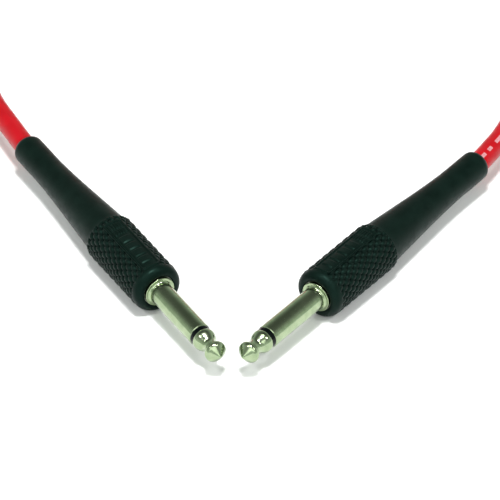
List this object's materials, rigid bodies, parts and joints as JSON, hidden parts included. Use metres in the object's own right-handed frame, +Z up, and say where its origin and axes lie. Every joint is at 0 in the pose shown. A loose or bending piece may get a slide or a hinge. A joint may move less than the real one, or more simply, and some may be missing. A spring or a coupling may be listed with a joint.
{
  "type": "instrument cable",
  "caption": "Straight mono jack plugs with knurled over-moulded grips at both ends of a screened cable, whose spare length is a hank tied with a strap.",
  "frame": {"origin": "on the surface under the middle of the box round the two plugs; the spare cable is left out of that box", "axes": "+Z up; +X across the V of the two plugs, from the left plug to the right one; -Y the side that both tips point to, and the hank lies on the +Y side"},
  "size_m": [0.1488, 0.2185, 0.0264],
  "materials": {
    "nickel": "polished nickel plate",
    "brass": "plain stamped brass",
    "solder": "bright solder",
    "copper": "bare copper strands",
    "black_grip": "satin moulded plastic, slightly soft",
    "black_insulator": "moulded plastic",
    "black_conductive": "matt",
    "white_plastic": "natural moulded plastic",
    "red_jacket": "satin flexible jacket",
    "strap": "hook-and-loop tape"
  },
  "bodies": {
    "cable": {"left_lead": "red_jacket", "right_lead": "red_jacket", "hank": "red_jacket", "hank_tie": "strap"},
    "left_plug": {"left_tip_pin": "nickel", "left_tip_ring": "black_insulator", "left_insulator_tube": "white_plastic", "left_sleeve": "nickel", "left_rear_washer": "white_plastic", "left_tip_lug": "brass", "left_ground_clamp": "brass", "left_tip_solder": "solder", "left_ground_solder": "solder", "left_conductor": "copper", "left_core_insulation": "white_plastic", "left_inner_screen": "black_conductive", "left_braid": "copper", "left_inner_mould": "white_plastic", "left_housing": "black_grip", "left_cable_end": "red_jacket"},
    "right_plug": {"right_tip_pin": "nickel", "right_tip_ring": "black_insulator", "right_insulator_tube": "white_plastic", "right_sleeve": "nickel", "right_rear_washer": "white_plastic", "right_tip_lug": "brass", "right_ground_clamp": "brass", "right_tip_solder": "solder", "right_ground_solder": "solder", "right_conductor": "copper", "right_core_insulation": "white_plastic", "right_inner_screen": "black_conductive", "right_braid": "copper", "right_inner_mould": "white_plastic", "right_housing": "black_grip", "right_cable_end": "red_jacket"}
  },
  "joints": [
    {"name": "left_flex", "type": "hinge", "parent": "cable", "child": "left_plug", "pos_m": [-0.06781, 0.05381, 0.0071], "axis": [0, 0, -1], "range_deg": [0, 40]},
    {"name": "right_flex", "type": "hinge", "parent": "cable", "child": "right_plug", "pos_m": [0.06855, 0.04571, 0.0071], "axis": [0, 0, 1], "range_deg": [0, 40]}
  ]
}
